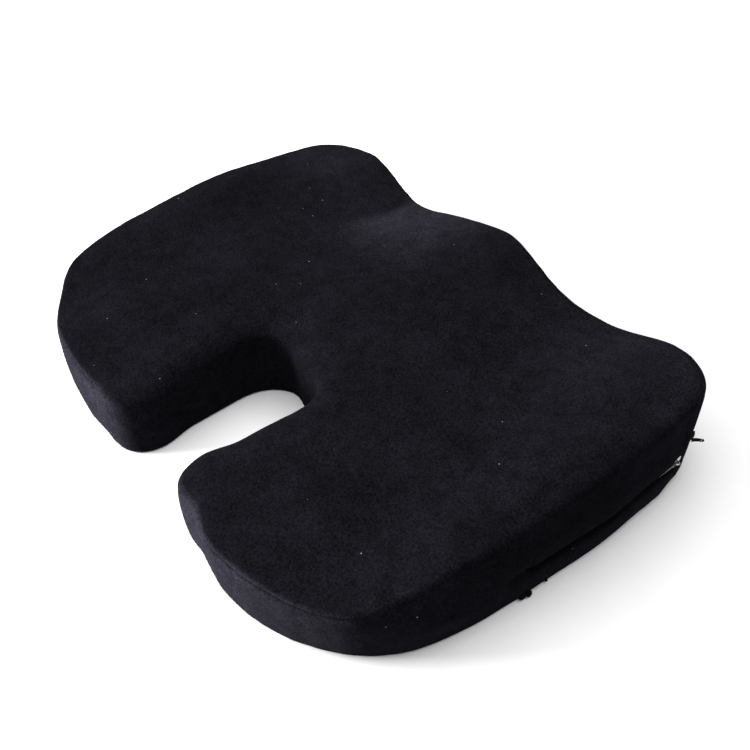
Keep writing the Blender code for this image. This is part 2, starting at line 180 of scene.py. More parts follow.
# The rows of the cover's mesh: heights above the base seam, shares of the open wall above the slot,
# heights below the top seam, turns over the edge, steps inwards, and (inset, height) under the base.
WALL_ROWS = (0.0, 0.0007, 0.0016, 0.0030, 0.0055, 0.0090, 0.0130, 0.0165)
OPEN_ROWS = (0.15, 0.32, 0.50, 0.68, 0.85, 1.0)
SEAM_ROWS = (0.0040, 0.0025, 0.0014, 0.0006, 0.0)
SEAM_BAND = 0.0060
EDGE_ROWS = (0.13, 0.30, 0.55, 0.80, 1.05, 1.32, pi / 2)
RIM_ROWS = (0.0030, 0.0070)
RIM_DISTANCE = 0.0070
BASE_ROWS = ((0.0005, 0.0012), (0.0016, 0.0004), (0.0040, 0.0), (0.0100, 0.0))
BASE_DISTANCE = 0.0008
AWAY_FROM_SEAM = 0.0200
GRID_REACH = 0.25
GRID_TOLERANCE = 0.12
LIP_TUCK = 0.0002

# A seam's crease, and the cloth standing up beside it: (share of the depth, distance, width).
CREASE_WIDTH = 0.0010
CREASE_SHOULDER = (0.25, 0.0035, 0.0022)

# The unevenness of the stuffing, wide and fine, and the puckers: (frequency, offset) and amplitude.
WIDE_RIPPLE = (16.0, Vector((3.1, 0, 0)), 0.0008)
FINE_RIPPLE = (48.0, Vector((0, 7.7, 0)), 0.0002)
PUCKER_RATE = (95.0, 12.0)
PUCKER_SEED = 1.7
PUCKER_HEIGHT = 0.0005
PUCKER_WIDTH = 0.0070
RESTING_Z = 0.0025

# The cloth simulation, and the parts of the cover that it holds or lets move less.
CLOTH_VOXEL = 0.006
CLOTH_PRESSURE = 4.0
CLOTH_FRAMES = 20
CLOTH_CAP = 0.0030
CLOTH_TENSION = 40.0
CLOTH_BENDING = 2.0
HELD_BEHIND_WALL = 0.012
HELD_BESIDE_ZIP = 0.010
HELD_BEHIND_ZIP = HOLLOW_LENGTH + 0.004
HELD_Z = 0.004
BACK_STIFFNESS = 0.65
FRONT_STIFFNESS = 0.50
STIFF_BACK_ZONE = (0.120, 0.030)
STIFF_FRONT_ZONE = (-0.120, 0.030)
STIFF_FAR_ZONE = (0.170, 0.030)
NEIGHBOURS = 10
NEIGHBOUR_BLUR = 0.002

# The layers inside the cover: their rows up the wall, on to the edge, and over it.
LAYER_STEP = 4
LAYER_PITCH = 0.012
LAYER_HEIGHTS = (0.012, 0.018, 0.024, 0.030, 0.036)
LAYER_SHARES = (0.4, 0.7, 1.0)
LAYER_TURNS = (0.5, 1.0, pi / 2)
LAYER_EDGE = 0.004
LAYER_LEAST_EDGE = 0.003
LAYER_BEVEL = 0.001
LAYER_FLOOR_SHARE = 0.7
PRESS_WIDTH = 0.014
LINER_DEPTH = 0.0044
FOAM_DEPTH = 0.0060
BEHIND_SLIDER = 0.0008

# The stitches: their size outwards, along and upwards, and their distance from the slot.
STITCH_SIZE = (0.00022, 0.00125, 0.00026)
STITCH_PITCH = 0.0034
STITCH_START = 0.005
STITCH_FREE = 0.008
STITCH_OFFSET = 0.0032
STITCH_LIFT = 0.00002
STITCH_TURN = radians(4)
RAY_START = 0.1

# The zip's folded ends: (y, z, (outwards, along, upwards)) for each lump, and the tail of tape.
REAR_LUMPS = (
    (0.0312, 0.0034, (0.0022, 0.0034, 0.0030)),
    (0.0266, 0.0028, (0.0030, 0.0030, 0.0028)),
    (0.0097, 0.0024, (0.0013, 0.0012, 0.0014)),
)
LUMP_SHIFT = 0.15
LUMP_LOWEST_Z = 0.0003
WRINKLE_DEPTH = 0.22
WRINKLE_RATE = 1.6
WRINKLE_SEED = 900
CORNER_RADIUS = 0.045
FOLD_Z = 0.0390
FOLD_OUT = 0.0004
FOLD_SIZE = (0.0013, 0.0030, 0.0040)
FOLD_RAY_START = 0.05
TAIL_Z = 0.0345
TAIL_OUT = 0.0010
TAIL_TURN = radians(54)
TAIL_LENGTH = 0.0090
TAIL_HALF_HEIGHT = 0.0020
TIP_HALF_HEIGHT = 0.0014
TAIL_HALF_DEPTH = 0.0005
TAIL_SWAY = 0.0003
TAIL_SWAY_TURN = 5.0
TAIL_SAG = 0.0006
TAIL_CLOSING = (0.93, 0.07)
TAIL_THREAD = (0.70, 0.80)
THREAD_SWELL = 1.12

# The slider's plates and the post between them: depth from the wall's face, half thickness, reach
# towards the front and the rear, and half heights at those ends; and the eye that the tab turns in.
FRONT_PLATE = (-0.0005, 0.0007, (0.0060, 0.0044), (0.0026, 0.0018))
REAR_PLATE = (0.0038, 0.0004, (0.0052, 0.0044), (0.0034, 0.0028))
POST = (0.0017, 0.0018, (0.0040, 0.0030), (0.0004, 0.0004))
PLATE_RIM = 0.0016
PLATE_END_HEIGHT = 0.35
PLATE_END_DEPTH = 0.45
PLATE_SQUARENESS = 0.45
EYE_RADIUS = 0.0016
EYE_WIRE_RADIUS = 0.00055

UP = Vector((0, 0, 1))
TOP, BAND, STRIP_UPPER, STRIP_LOWER, BASE, SLOT = range(6)
VELOUR_PANELS = (
    ("cover_top", TOP, "top_panel"),
    ("cover_side", BAND, "side_band"),
    ("cover_zip_upper", STRIP_UPPER, "zip_strip_upper"),
    ("cover_zip_lower", STRIP_LOWER, "zip_strip_lower"),
)


def smooth(value):
    """Eases from 0 to 1 while value goes from 0 to 1."""
    t = np.clip(value, 0.0, 1.0)
    return t * t * (3 - 2 * t)


def rise(value, zone):
    """Eases from 0 to 1 as value goes up through a zone."""
    start, length = zone
    return smooth((value - start) / length)


def fall(value, zone):
    """Eases from 0 to 1 as value goes down from a zone's start."""
    start, length = zone
    return smooth((start - value) / length)


def blend(start, end, part):
    """From start to end as part goes from 0 to 1."""
    return start + (end - start) * part


def hill(distance, width):
    """A rounded hill, 1 high at distance 0."""
    return np.exp(-((distance / width) ** 2))


def mound(x, y, spot):
    """A hill over a spot: its height, and its centre and width across and along."""
    height, (centre_x, width_x), (centre_y, width_y) = spot
    return height * hill(x - centre_x, width_x) * hill(y - centre_y, width_y)


def stuffing_rise(x, y):
    """How much higher the stuffed cover stands than the CAD top."""
    across = np.abs(x)
    lobe = LOBE_RISE * rise(y, LOBE_ZONE)
    corner = CORNER_SINK * rise(across, CORNER_ZONE[0]) * rise(y, CORNER_ZONE[1])
    knee = np.where(x > 0, *KNEE_SINK) * rise(across, KNEE_SINK_ZONE[0])
    knee = knee * fall(y, KNEE_SINK_ZONE[1])
    side = np.where(x > 0, *SIDE_LIFT) * rise(across, SIDE_ZONE) * hill(y, SIDE_REACH)
    front = FRONT_RISE * fall(y, FRONT_RISE_ZONE)
    return lobe - corner - knee + side + front


def top_height(x, y):
    """Height of the cover's top at points of the plan."""
    from_middle = np.abs(x + CONTOUR_SHIFT)
    pommel = POMMEL_RISE * hill(from_middle, POMMEL_WIDTH)
    channel = CHANNEL_DEPTH * hill(from_middle - CHANNEL_X, CHANNEL_WIDTH)
    side = rise(np.abs(x), SIDE_RISE_ZONE[0]) * rise(y, SIDE_RISE_ZONE[1])
    height = blend(BACK_HEIGHT, FRONT_HEIGHT, fall(y, SLOPE_ZONE))
    height = height + fall(y, CONTOUR_ZONE) * (pommel - channel)
    return height - TAIL_DROP * rise(y, TAIL_ZONE) + SIDE_RISE * side + stuffing_rise(x, y)


# ---- the outline ----


def cad_outline():
    """The plan's outline, counter-clockwise, from the upper rim of the CAD base panel."""
    mesh = bmesh.new()
    mesh.from_mesh(frame["nodes"]["base_panel"].data)
    bmesh.ops.remove_doubles(mesh, verts=mesh.verts, dist=1e-5)
    beside = {}
    for edge in mesh.edges:
        ends_up = all(abs(vert.co.z - BASE_SEAM_Z) < 1e-4 for vert in edge.verts)
        at_wall = any(vert.co.z < BASE_SEAM_Z - 1e-4 for face in edge.link_faces for vert in face.verts)
        if ends_up and at_wall:
            first, second = edge.verts
            beside.setdefault(first, []).append(second)
            beside.setdefault(second, []).append(first)
    start = next(iter(beside))
    loop = [start, beside[start][0]]
    while True:
        ahead = [vert for vert in beside[loop[-1]] if vert != loop[-2]][0]
        if ahead == start:
            break
        loop.append(ahead)
    points = np.array([vert.co.xy for vert in loop])
    mesh.free()
    turned = np.roll(points, -1, axis=0)
    area = np.sum(points[:, 0] * turned[:, 1] - turned[:, 0] * points[:, 1])
    return points if area > 0 else points[::-1]


def along_loop(points):
    """Arc length at each point of a closed loop, and the whole length last."""
    steps = np.linalg.norm(np.roll(points, -1, axis=0) - points, axis=1)
    return np.concatenate(([0.0], np.cumsum(steps)))


def sample_loop(points, places):
    """Points of a closed loop at the arc lengths given."""
    lengths = along_loop(points)
    closed = np.vstack((points, points[:1]))
    places = np.mod(places, lengths[-1])
    return np.column_stack([np.interp(places, lengths, closed[:, axis]) for axis in (0, 1)])


def rounded_loop(points):
    """The loop with its facets smoothed away."""
    total = along_loop(points)[-1]
    count = LOOP_SAMPLES
    even = sample_loop(points, np.arange(count) * total / count)
    offsets = np.minimum(np.arange(count), count - np.arange(count)) * total / count
    kernel = np.exp(-0.5 * (offsets / OUTLINE_BLUR) ** 2)
    spectrum = np.fft.rfft(kernel / kernel.sum())[:, None]
    return np.fft.irfft(np.fft.rfft(even, axis=0) * spectrum, count, axis=0)


def station_places(loop):
    """Arc lengths of the stations, the zip's stretch first, closer at its two seams."""
    lengths = along_loop(loop)
    on_side = loop[:, 0] < WALL_X + SIDE_TOLERANCE
    rear = lengths[:-1][on_side][np.argmin(np.abs(loop[on_side, 1] - ZIP_REAR_Y))]
    front = lengths[:-1][on_side][np.argmin(np.abs(loop[on_side, 1] - ZIP_FRONT_Y))]
    total = lengths[-1]
    zip_length = (front - rear) % total
    near = np.array(STATIONS_AT_SEAM)
    places = []
    for start, length in ((rear, zip_length), (front, total - zip_length)):
        count = round((length - 2 * near[-1]) / STATION_PITCH)
        middle = np.linspace(near[-1], length - near[-1], count + 1)[1:]
        places.append(start + np.concatenate((near, middle, length - near[2:0:-1])))
    return np.concatenate(places), len(places[0]), rear, zip_length


class Outline:
    """The stations round the plan, and what varies between them."""

    def __init__(self):
        loop = rounded_loop(cad_outline())
        places, self.zip_count, rear, zip_length = station_places(loop)
        total = along_loop(loop)[-1]
        point = sample_loop(loop, places)
        ahead, behind = (sample_loop(loop, places + step) for step in (TANGENT_STEP, -TANGENT_STEP))
        tangent = ahead - behind
        out = np.column_stack((tangent[:, 1], -tangent[:, 0]))
        self.out = out / np.linalg.norm(out, axis=1)[:, None]
        self.place = np.mod(places - rear, total)
        to_ends = np.stack([self.place, np.abs(self.place - zip_length), total - self.place])
        self.end_distance = to_ends.min(axis=0)
        past_zip = np.where(self.place <= zip_length, 0.0, self.end_distance)
        self.at_zip = 1 - smooth(past_zip / ZIP_END_EASE)
        self.far = point[:, 0] > 0
        across, y = np.abs(point[:, 0]), point[:, 1]
        self.cut = rise(y, CUT_ZONE[1]) * fall(across, CUT_ZONE[0])
        self.side = rise(across, WALL_ZONE) * (1 - self.cut)
        self.back = rise(y, BACK_ZONE) * (1 - self.cut)
        self.front = fall(y, FRONT_ZONE)
        self.bow = self.wall_bow(point[:, 0], across, y)
        self.point = point + self.out * self.bow[:, None]
        self.edge = blend(EDGE_WIDTH, SIDE_EDGE_WIDTH, self.side * fall(y, SIDE_EDGE_ZONE))
        self.edge += (CUT_EDGE_WIDTH - EDGE_WIDTH) * self.cut
        self.drop = blend(EDGE_DROP, CUT_EDGE_DROP, self.cut)
        beside = self.point - self.out * self.edge[:, None]
        self.seam = top_height(beside[:, 0], beside[:, 1]) - self.drop
        self.seam_depth = SEAM_DEPTH * blend(SOFT_SEAM_SHARE, 1, self.back)
        self.tuck = self.wall_tuck(across, y)
        self.open_slot(zip_length)

    def wall_bow(self, x, across, y):
        """How far the wall stands out from the CAD plan at each station."""
        far_bow = FAR_SIDE_BOW * fall(y, FAR_BOW_REAR) * rise(y, FAR_BOW_FRONT)
        middle = ZIP_MIDDLE_BOW * hill(y - ZIP_MIDDLE[0], ZIP_MIDDLE[1])
        zip_bow = ZIP_SIDE_BOW * rise(y, ZIP_BOW_FRONT) + middle + mound(across, y, ZIP_CORNER_BOW)
        bow = self.side * np.where(self.far, far_bow, zip_bow) + CUT_BOW * self.cut
        back_bow = np.where(self.far, *BACK_BOW)
        bow += back_bow * rise(y, BACK_BOW_ZONE) * hill(across - BACK_BOW_ACROSS[0], BACK_BOW_ACROSS[1])
        mouth_bow = np.where(self.far, *MOUTH_BOW) * rise(y, MOUTH_ZONE)
        bow += mouth_bow * hill(across - MOUTH_X, np.where(self.far, *MOUTH_WIDTH))
        cut_end = self.cut * fall(y, CUT_END_ZONE[1]) * fall(x, CUT_END_ZONE[0])
        bow += CUT_END_BOW * cut_end * np.maximum(self.out[:, 1], 0.0) ** 2
        knee_bow = np.where(self.far, mound(across, y, FAR_KNEE_BOW), mound(across, y, KNEE_BOW))
        return bow + knee_bow + FRONT_BOW * self.front

    def wall_tuck(self, across, y):
        """How far the wall draws in at the base at each station."""
        plain = np.clip(1 - self.back - self.front - self.cut, 0.0, 1.0)
        back_tuck = np.where(self.far, *BACK_TUCK)
        tuck = SIDE_TUCK * plain + back_tuck * self.back + FRONT_TUCK * self.front
        mouth = np.where(self.far, 0.0, self.back * fall(across, MOUTH_TUCK_ZONE))
        knee = self.front * rise(across, KNEE_TUCK_ZONE)
        tuck += CUT_TUCK * self.cut + MOUTH_TUCK * mouth + KNEE_TUCK * knee
        corner = np.where(self.far, mound(across, y, FAR_CORNER_TUCK), mound(across, y, CORNER_TUCK))
        return tuck + corner

    def open_slot(self, zip_length):
        """The slot's wavy edges, closing at its ends, and the hollow behind it."""
        opened = np.where(self.place <= zip_length, self.end_distance, SLOT_END_TAPER)
        opening = blend(SLOT_END_SHARE, 1, smooth(opened / SLOT_END_TAPER))
        long_wave, short_wave = SLOT_WAVES
        waves = 0.6 * np.sin(self.place * long_wave) + 0.4 * np.sin(self.place * short_wave + 1.0)
        upper_waves = np.roll(waves, SLOT_WAVE_LAG)
        self.slot_low = ZIP_Z - (ZIP_Z - SLOT_LOW) * opening + SLOT_WAVE * waves
        self.slot_high = ZIP_Z + (SLOT_HIGH - ZIP_Z) * opening + SLOT_WAVE * upper_waves
        beyond = self.point[:, 1] - ZIP_REAR_Y
        self.hollow = rise(beyond, (-HOLLOW_LEAD, HOLLOW_EASE))
        self.hollow *= fall(beyond, (HOLLOW_LENGTH + HOLLOW_EASE, HOLLOW_EASE))
        self.hollow *= np.where(self.point[:, 0] < WALL_X + HOLLOW_LEAD, 1.0, 0.0)

    def wall_inset(self, z):
        """How far the wall stands in at a height."""
        part = np.clip(z / self.seam, 0.0, 1.0)
        roll = LOWER_ROLL * self.at_zip * hill(z - ROLL_Z, ROLL_WIDTH)
        inset = self.tuck * (1 - part) ** TUCK_POWER - WALL_BULGE * 4 * part * (1 - part) - roll
        hollow = self.hollow * hill(z - ZIP_Z, HOLLOW_HALF_HEIGHT)
        return inset + hollow * (self.bow - HOLLOW_OUT - inset)


# ---- the cover ----


def crease(distance):
    """How far a seam pulls the cloth in; the cloth stands up a little beside it."""
    share, shoulder, width = CREASE_SHOULDER
    return hill(distance, CREASE_WIDTH) - share * hill(distance - shoulder, width)


def grid_fill(mesh, loop, pitch, height):
    """Fills a loop with a square grid set to its height; returns the new faces."""
    inside = [mesh.faces.new(loop)]
    lines = int(GRID_REACH / pitch)
    tolerance = pitch * GRID_TOLERANCE
    for axis in (Vector((1, 0, 0)), Vector((0, 1, 0))):
        for line in range(-lines, lines + 1):
            parts = set(inside)
            parts.update(edge for each in inside for edge in each.edges)
            parts.update(vert for each in inside for vert in each.verts)
            plane = {"plane_co": axis * line * pitch, "plane_no": axis}
            cut = bmesh.ops.bisect_plane(mesh, geom=list(parts), dist=tolerance, **plane)
            inside = [part for part in cut["geom"] if isinstance(part, bmesh.types.BMFace)]
    rim = set(loop)
    for vert in {vert for each in inside for vert in each.verts} - rim:
        vert.co.z = float(height(vert.co.x, vert.co.y))
    return inside


class Cover:
    """The cover's mesh, with the panel that each face belongs to."""

    def __init__(self, outline):
        self.outline = outline
        self.mesh = bmesh.new()
        self.panel = self.mesh.faces.layers.int.new("panel")
        self.seam_distance = self.mesh.verts.layers.float.new("seam_distance")
        self.place = self.mesh.verts.layers.float.new("place")
        self.build()

    def ring(self, inset, z, distance, lift=None):
        """A loop of vertices at a distance from a long seam; lift is the upward share of its pull."""
        outline = self.outline
        pull = crease(distance) * outline.seam_depth
        if lift is None:
            pull = pull + crease(outline.end_distance) * END_SEAM_DEPTH
        else:
            z = z - pull * lift
            pull = pull * sqrt(max(0.0, 1 - lift * lift))
        flat = outline.point - outline.out * np.reshape(inset + pull, (-1, 1))
        loop = []
        for (x, y), height, place in zip(flat, np.broadcast_to(z, (len(flat),)), outline.place):
            vert = self.mesh.verts.new((x, y, height))
            vert[self.seam_distance] = distance
            vert[self.place] = place
            loop.append(vert)
        return loop

    def strip(self, lower, upper, panels):
        """Quads between two loops; panels gives each one's panel."""
        for i in range(len(lower)):
            after = (i + 1) % len(lower)
            face = self.mesh.faces.new((lower[i], lower[after], upper[after], upper[i]))
            face[self.panel] = panels[i]

    def wall_rings(self):
        """Loops from the base seam to the top seam, and which lie at the slot's edges."""
        outline = self.outline
        levels = [(BASE_SEAM_Z + up, up) for up in WALL_ROWS]
        slot_low = len(levels)
        levels += [(z, AWAY_FROM_SEAM) for z in (outline.slot_low, ZIP_Z, outline.slot_high)]
        slot_high = len(levels) - 1
        for part in OPEN_ROWS:
            z = blend(outline.slot_high, outline.seam - SEAM_BAND, part)
            levels.append((z, SEAM_BAND + AWAY_FROM_SEAM * (1 - part)))
        levels += [(outline.seam - below, below) for below in SEAM_ROWS]
        rings = [self.ring(outline.wall_inset(z), z, distance) for z, distance in levels]
        return rings, slot_low, slot_high

    def top_rings(self):
        """Loops over the rounded edge, from the top seam inwards."""
        outline = self.outline
        rings = []
        for turn in EDGE_ROWS:
            inset = outline.edge * (1 - cos(turn))
            z = outline.seam + outline.drop * sin(turn)
            rings.append(self.ring(inset, z, EDGE_DROP * turn, sin(turn)))
        for further in RIM_ROWS:
            inset = outline.edge + further
            flat = outline.point - outline.out * inset[:, None]
            height = top_height(flat[:, 0], flat[:, 1])
            rings.append(self.ring(inset, height, RIM_DISTANCE + further, 1.0))
        return rings

    def base_rings(self):
        """Loops under the base, from its seam inwards."""
        under = self.outline.wall_inset(BASE_SEAM_Z)
        return [self.ring(under + inset, z, BASE_DISTANCE + inset, 1.0) for inset, z in BASE_ROWS]

    def fill(self, loop, panel, pitch, height):
        """A panel's middle, inside a loop."""
        rim = set(loop)
        for face in grid_fill(self.mesh, loop, pitch, height):
            face[self.panel] = panel
            for vert in face.verts:
                if vert not in rim:
                    vert[self.seam_distance] = AWAY_FROM_SEAM

    def add_lips(self, low, middle, high):
        """The slot's edges, folded in as far as the zip's tapes."""
        last = self.outline.zip_count

        def inner(vert):
            twin = self.mesh.verts.new((TAPE_X - LIP_TUCK, vert.co.y, vert.co.z))
            twin[self.seam_distance] = AWAY_FROM_SEAM
            twin[self.place] = vert[self.place]
            return twin

        below = [inner(vert) for vert in low[: last + 1]]
        above = [inner(vert) for vert in high[: last + 1]]
        for outer, tucked, panel in ((low, below, STRIP_LOWER), (high, above, STRIP_UPPER)):
            for i in range(last):
                face = self.mesh.faces.new((outer[i], outer[i + 1], tucked[i + 1], tucked[i]))
                face[self.panel] = panel
        for end in (0, last):
            between = inner(middle[end])
            self.mesh.faces.new((low[end], middle[end], between, below[end]))[self.panel] = BAND
            self.mesh.faces.new((middle[end], high[end], above[end], between))[self.panel] = BAND

    def build(self):
        """All the loops, with the panels between them."""
        zip_count = self.outline.zip_count
        count = len(self.outline.place)
        base = self.base_rings()
        wall, slot_low, slot_high = self.wall_rings()
        top = self.top_rings()
        for under, over in zip(base[1:], base):
            self.strip(under, over, [BASE] * count)
        self.strip(base[0], wall[0], [BASE] * count)
        for level, (lower, upper) in enumerate(zip(wall, wall[1:])):
            at_zip = STRIP_LOWER if level < slot_low else SLOT if level < slot_high else STRIP_UPPER
            self.strip(lower, upper, [at_zip] * zip_count + [BAND] * (count - zip_count))
        for lower, upper in zip([wall[-1]] + top, top):
            self.strip(lower, upper, [TOP] * count)
        self.fill(top[-1], TOP, TOP_PITCH, top_height)
        self.fill(base[-1], BASE, BASE_PITCH, lambda x, y: 0.0)
        bmesh.ops.recalc_face_normals(self.mesh, faces=self.mesh.faces)
        self.slot = (wall[slot_low], wall[slot_low + 1], wall[slot_high])

    def finish(self):
        """Folds the slot's edges in and takes away the faces over it."""
        self.add_lips(*self.slot)
        over_slot = [face for face in self.mesh.faces if face[self.panel] == SLOT]
        bmesh.ops.delete(self.mesh, geom=over_slot, context="FACES")
        bmesh.ops.recalc_face_normals(self.mesh, faces=self.mesh.faces)


def vertex_array(data):
    """The vertices of a mesh as an array."""
    flat = np.zeros(len(data.vertices) * 3, np.float32)
    data.vertices.foreach_get("co", flat)
    return flat.reshape(-1, 3).astype(float)


def new_object(name, data):
    """An object in the scene."""
    made = bpy.data.objects.new(name, data)
    scene.collection.objects.link(made)
    return made


def puffed(mesh):
    """The places of a remeshed copy of the cover, and its moves under pressure."""
    data = bpy.data.meshes.new("puff")
    mesh.to_mesh(data)
    puff = new_object("puff", data)
    remesh = puff.modifiers.new("Remesh", "REMESH")
    remesh.mode = "VOXEL"
    remesh.voxel_size = CLOTH_VOXEL
    graph = bpy.context.evaluated_depsgraph_get()
    puff.data = bpy.data.meshes.new_from_object(puff.evaluated_get(graph))
    puff.modifiers.clear()
    start = vertex_array(puff.data)
    x, y, z = start.T
    near_zip = (x < WALL_X + HELD_BEHIND_WALL) & (np.abs(z - ZIP_Z) < HELD_BESIDE_ZIP)
    near_zip &= (y > ZIP_FRONT_Y - HELD_BESIDE_ZIP) & (y < ZIP_REAR_Y + HELD_BEHIND_ZIP)
    still = near_zip | (z < HELD_Z)
    puff.vertex_groups.new(name="held").add(np.flatnonzero(still).tolist(), 1.0, "REPLACE")
    cloth = puff.modifiers.new("Cloth", "CLOTH")
    settings = cloth.settings
    settings.vertex_group_mass = "held"
    settings.use_pressure = True
    settings.uniform_pressure_force = CLOTH_PRESSURE
    settings.effector_weights.gravity = 0.0
    settings.tension_stiffness = settings.compression_stiffness = CLOTH_TENSION
    settings.bending_stiffness = CLOTH_BENDING
    cloth.point_cache.frame_end = CLOTH_FRAMES
    for step in range(1, CLOTH_FRAMES + 1):
        scene.frame_set(step)
    graph = bpy.context.evaluated_depsgraph_get()
    moves = vertex_array(puff.evaluated_get(graph).to_mesh()) - start
    scene.frame_set(1)
    bpy.data.objects.remove(puff)
    length = np.linalg.norm(moves, axis=1)[:, None]
    return start, moves * np.minimum(1.0, CLOTH_CAP / np.maximum(length, 1e-9))


def slack(x, y):
    """How far the cover gives under the pressure: less at its crisp seams."""
    back = BACK_STIFFNESS * rise(y, STIFF_BACK_ZONE)
    front = FRONT_STIFFNESS * fall(y, STIFF_FRONT_ZONE)
    far = FRONT_STIFFNESS * rise(x, STIFF_FAR_ZONE)
    return 1 - max(back, front, far)


def apply_moves(mesh, start, moves):
    """Moves each vertex as the cloth near it moved."""
    tree = KDTree(len(start))
    for i, point in enumerate(start):
        tree.insert(point, i)
    tree.balance()
    for vert in mesh.verts:
        near = tree.find_n(vert.co, NEIGHBOURS)
        weights = np.array([1.0 / (distance + NEIGHBOUR_BLUR) ** 2 for _, _, distance in near])
        move = weights @ moves[[i for _, i, _ in near]] / weights.sum()
        vert.co += Vector(move) * slack(vert.co.x, vert.co.y)
        vert.co.z = max(vert.co.z, 0.0)


def ripple(cover):
    """Unevenness of the stuffing, and puckers beside the seams."""
    cover.mesh.normal_update()
    for vert in cover.mesh.verts:
        if vert.co.z < RESTING_Z:
            continue
        wide, fine = [
            height * noise.noise(vert.co * frequency + offset)
            for frequency, offset, height in (WIDE_RIPPLE, FINE_RIPPLE)
        ]
        near_seam = hill(vert[cover.seam_distance], PUCKER_WIDTH)
        along_seam, upwards = vert[cover.place] * PUCKER_RATE[0], vert.co.z * PUCKER_RATE[1]
        spot = Vector((along_seam, upwards, PUCKER_SEED))
        vert.co += vert.normal * (wide + fine + PUCKER_HEIGHT * near_seam * noise.noise(spot))


def link(name, mesh, material):
    """A smooth-shaded object of a bmesh."""
    data = bpy.data.meshes.new(name)
    mesh.to_mesh(data)
    mesh.free()
    data.shade_smooth()
    data.materials.append(material)
    return new_object(name, data)


def dress(piece, body, nodes):
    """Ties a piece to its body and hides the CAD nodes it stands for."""
    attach(piece, body)
    if nodes:
        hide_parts(*nodes)


def cover_panel(cover, name, panel, node, material):
    """One panel of the cover as its own piece of cloth."""
    mesh = cover.mesh.copy()
    layer = mesh.faces.layers.int["panel"]
    others = [face for face in mesh.faces if face[layer] != panel]
    bmesh.ops.delete(mesh, geom=others, context="FACES")
    piece = link(name, mesh, material)
    cloth = piece.modifiers.new("Fabric", "SOLIDIFY")
    cloth.thickness = FABRIC_THICKNESS
    cloth.offset = -1
    dress(piece, "cushion", [node])


def layer_block(outline, name, depth, material):
    """The liner or the foam, pressed in behind the zip."""
    mesh = bmesh.new()
    pick = slice(None, None, LAYER_STEP)
    recess = SLIDER_REAR_X + BEHIND_SLIDER - WALL_X + (depth - LINER_DEPTH)

    def ring(inset, z):
        height = np.broadcast_to(z, outline.seam.shape)
        press = outline.at_zip * hill(height - ZIP_Z, PRESS_WIDTH)
        press = press * np.maximum(0, outline.bow + recess - depth)
        flat = outline.point - outline.out * np.reshape(inset + depth + press, (-1, 1))
        return [mesh.verts.new((x, y, z)) for (x, y), z in zip(flat[pick], height[pick])]

    floor = depth * LAYER_FLOOR_SHARE
    top = outline.seam + outline.drop - depth
    loops = [ring(outline.tuck + LAYER_EDGE, floor)]
    loops.append(ring(outline.tuck + LAYER_BEVEL, floor + LAYER_BEVEL))
    loops += [ring(outline.wall_inset(z), z) for z in LAYER_HEIGHTS]
    loops += [ring(0, blend(LAYER_HEIGHTS[-1], top - LAYER_EDGE, part)) for part in LAYER_SHARES]
    edge = np.maximum(outline.edge - depth, LAYER_LEAST_EDGE)
    for turn in LAYER_TURNS:
        loops.append(ring(edge * (1 - cos(turn)), top - LAYER_EDGE * (1 - sin(turn))))
    join(mesh, loops)
    grid_fill(mesh, loops[-1], LAYER_PITCH, lambda x, y: top_height(x, y) - depth)
    grid_fill(mesh, loops[0], LAYER_PITCH, lambda x, y: floor)
    bmesh.ops.recalc_face_normals(mesh, faces=mesh.faces)
    piece = link(name + "_soft", mesh, material)
    dress(piece, "cushion", [name])


# ---- the zip ----


def on_wall(surface, y, z):
    """The place and normal of the cover's wall on the zip's side."""
    return surface.ray_cast(Vector((WALL_X - RAY_START, y, z)), Vector((1, 0, 0)))[:2]


def stitch_rows(surface, material):
    """The rows of stitches above and below the slot."""
    mesh = bmesh.new()
    count = int((ZIP_REAR_Y - ZIP_FRONT_Y - STITCH_FREE) / STITCH_PITCH)
    shape = Matrix.Rotation(STITCH_TURN, 4, "X") @ Matrix.Diagonal((*STITCH_SIZE, 1.0))
    for z in (SLOT_LOW - STITCH_OFFSET, SLOT_HIGH + STITCH_OFFSET):
        for stitch in range(count):
            point, normal = on_wall(surface, ZIP_FRONT_Y + STITCH_START + stitch * STITCH_PITCH, z)
            made = bmesh.ops.create_uvsphere(mesh, u_segments=8, v_segments=6, radius=1.0)
            place = Matrix.Translation(point + normal * STITCH_LIFT)
            bmesh.ops.transform(mesh, matrix=place @ shape, verts=made["verts"])
    piece = link("zip_stitching", mesh, material)
    dress(piece, "cushion", [])


def add_lump(mesh, place, out, size):
    """A soft lump of cloth; size is its reach outwards, along and upwards."""
    made = bmesh.ops.create_icosphere(mesh, subdivisions=4, radius=1.0)
    along = UP.cross(out).normalized()
    turn = Matrix((out, along, UP)).transposed()
    for vert in made["verts"]:
        wrinkle = 1 + WRINKLE_DEPTH * noise.noise(vert.co * WRINKLE_RATE + place * WRINKLE_SEED)
        vert.co = place + turn @ Vector([part * length for part, length in zip(vert.co * wrinkle, size)])


def rear_fold(surface, material):
    """The bunched cloth at the zip's rear end, and a knot beside it."""
    mesh = bmesh.new()
    for y, z, size in REAR_LUMPS:
        point, normal = on_wall(surface, y, z)
        level = Vector((normal.x, normal.y, 0)).normalized()
        add_lump(mesh, point + level * size[0] * LUMP_SHIFT, level, size)
    for vert in mesh.verts:
        vert.co.z = max(vert.co.z, LUMP_LOWEST_Z)
    dress(link("zip_end_rear_soft", mesh, material), "cushion", ["zip_end_rear"])


